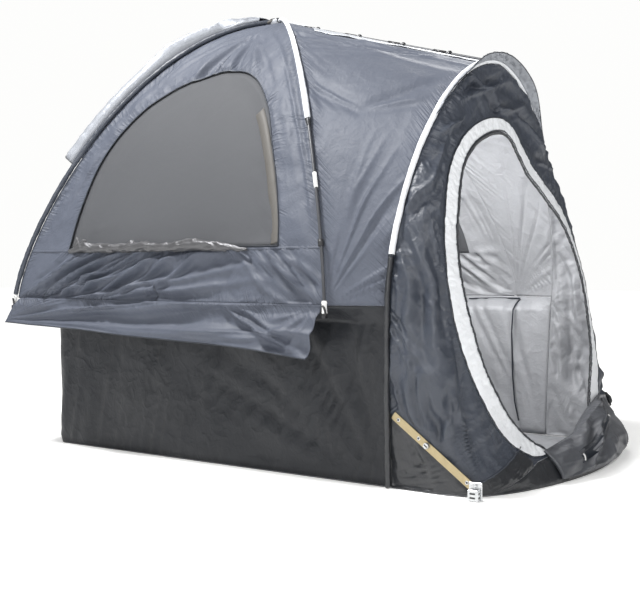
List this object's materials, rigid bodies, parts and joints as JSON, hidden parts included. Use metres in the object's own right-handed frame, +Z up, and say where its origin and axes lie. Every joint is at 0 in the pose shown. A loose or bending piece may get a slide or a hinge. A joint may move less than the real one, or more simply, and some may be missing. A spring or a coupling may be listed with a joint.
{
  "type": "truck bed tent",
  "caption": "Dome tent for an open pickup bed with an arched rear doorway, mesh windows, side skirts and a tub floor that drops into the bed.",
  "frame": {"origin": "middle of the bounding box, at the level the floor rests on", "axes": "+Z up, -Y is the door at the tail, +Y is the cab end, -X is the side seen first in the picture"},
  "size_m": [1.5606, 2.2146, 1.7665],
  "materials": {
    "shell_fabric": "woven polyester, slate grey, coated",
    "dark_fabric": "woven polyester, charcoal",
    "silver_fabric": "woven polyester with a silver coating",
    "mesh_fabric": "fine insect mesh, grey",
    "black_fabric": "coated polyester, black",
    "gold_steel": "zinc plated strip with a yellow passivation",
    "steel": "plain steel",
    "white_fabric": "woven polyester, white",
    "grey_pole": "glass fibre rod with a grey coat and metal ferrules",
    "white_plastic": "moulded, white",
    "black_plastic": "moulded, black"
  },
  "bodies": {
    "root": {"arch_eave": "silver_fabric", "arch_sleeve": "white_fabric", "corner_fitting_left": "steel", "corner_fitting_right": "steel", "crown_hub": "silver_fabric", "door_panel": "black_fabric", "door_sill": "black_fabric", "door_trim": "silver_fabric", "door_wall": "dark_fabric", "extension_left": "shell_fabric", "extension_right": "shell_fabric", "floor": "black_fabric", "foot_pin_front_left": "black_plastic", "foot_pin_front_right": "black_plastic", "foot_pin_rear_left": "black_plastic", "foot_pin_rear_right": "black_plastic", "front_visor": "silver_fabric", "front_wall": "shell_fabric", "leg_channel_left": "black_fabric", "leg_channel_right": "black_fabric", "pole_rear_left": "grey_pole", "pole_rear_right": "grey_pole", "pole_tip_front_left": "white_plastic", "pole_tip_front_right": "white_plastic", "pole_tip_rear_left": "white_plastic", "pole_tip_rear_right": "white_plastic", "ridge_pole": "grey_pole", "roof_strip": "silver_fabric", "side_wall_left": "shell_fabric", "side_wall_right": "shell_fabric", "skirt_front": "shell_fabric", "skirt_left": "shell_fabric", "skirt_right": "shell_fabric", "sleeve_front_left": "dark_fabric", "sleeve_front_right": "dark_fabric", "sleeve_rear_left": "white_fabric", "sleeve_rear_right": "white_fabric", "stay_left": "gold_steel", "stay_right": "gold_steel", "stay_stud_left": "steel", "stay_stud_right": "steel", "tub_wall": "shell_fabric", "window_cover_left": "silver_fabric", "window_cover_right": "silver_fabric", "window_mesh_front": "mesh_fabric", "window_mesh_left": "mesh_fabric", "window_mesh_right": "mesh_fabric"}
  },
  "joints": []
}
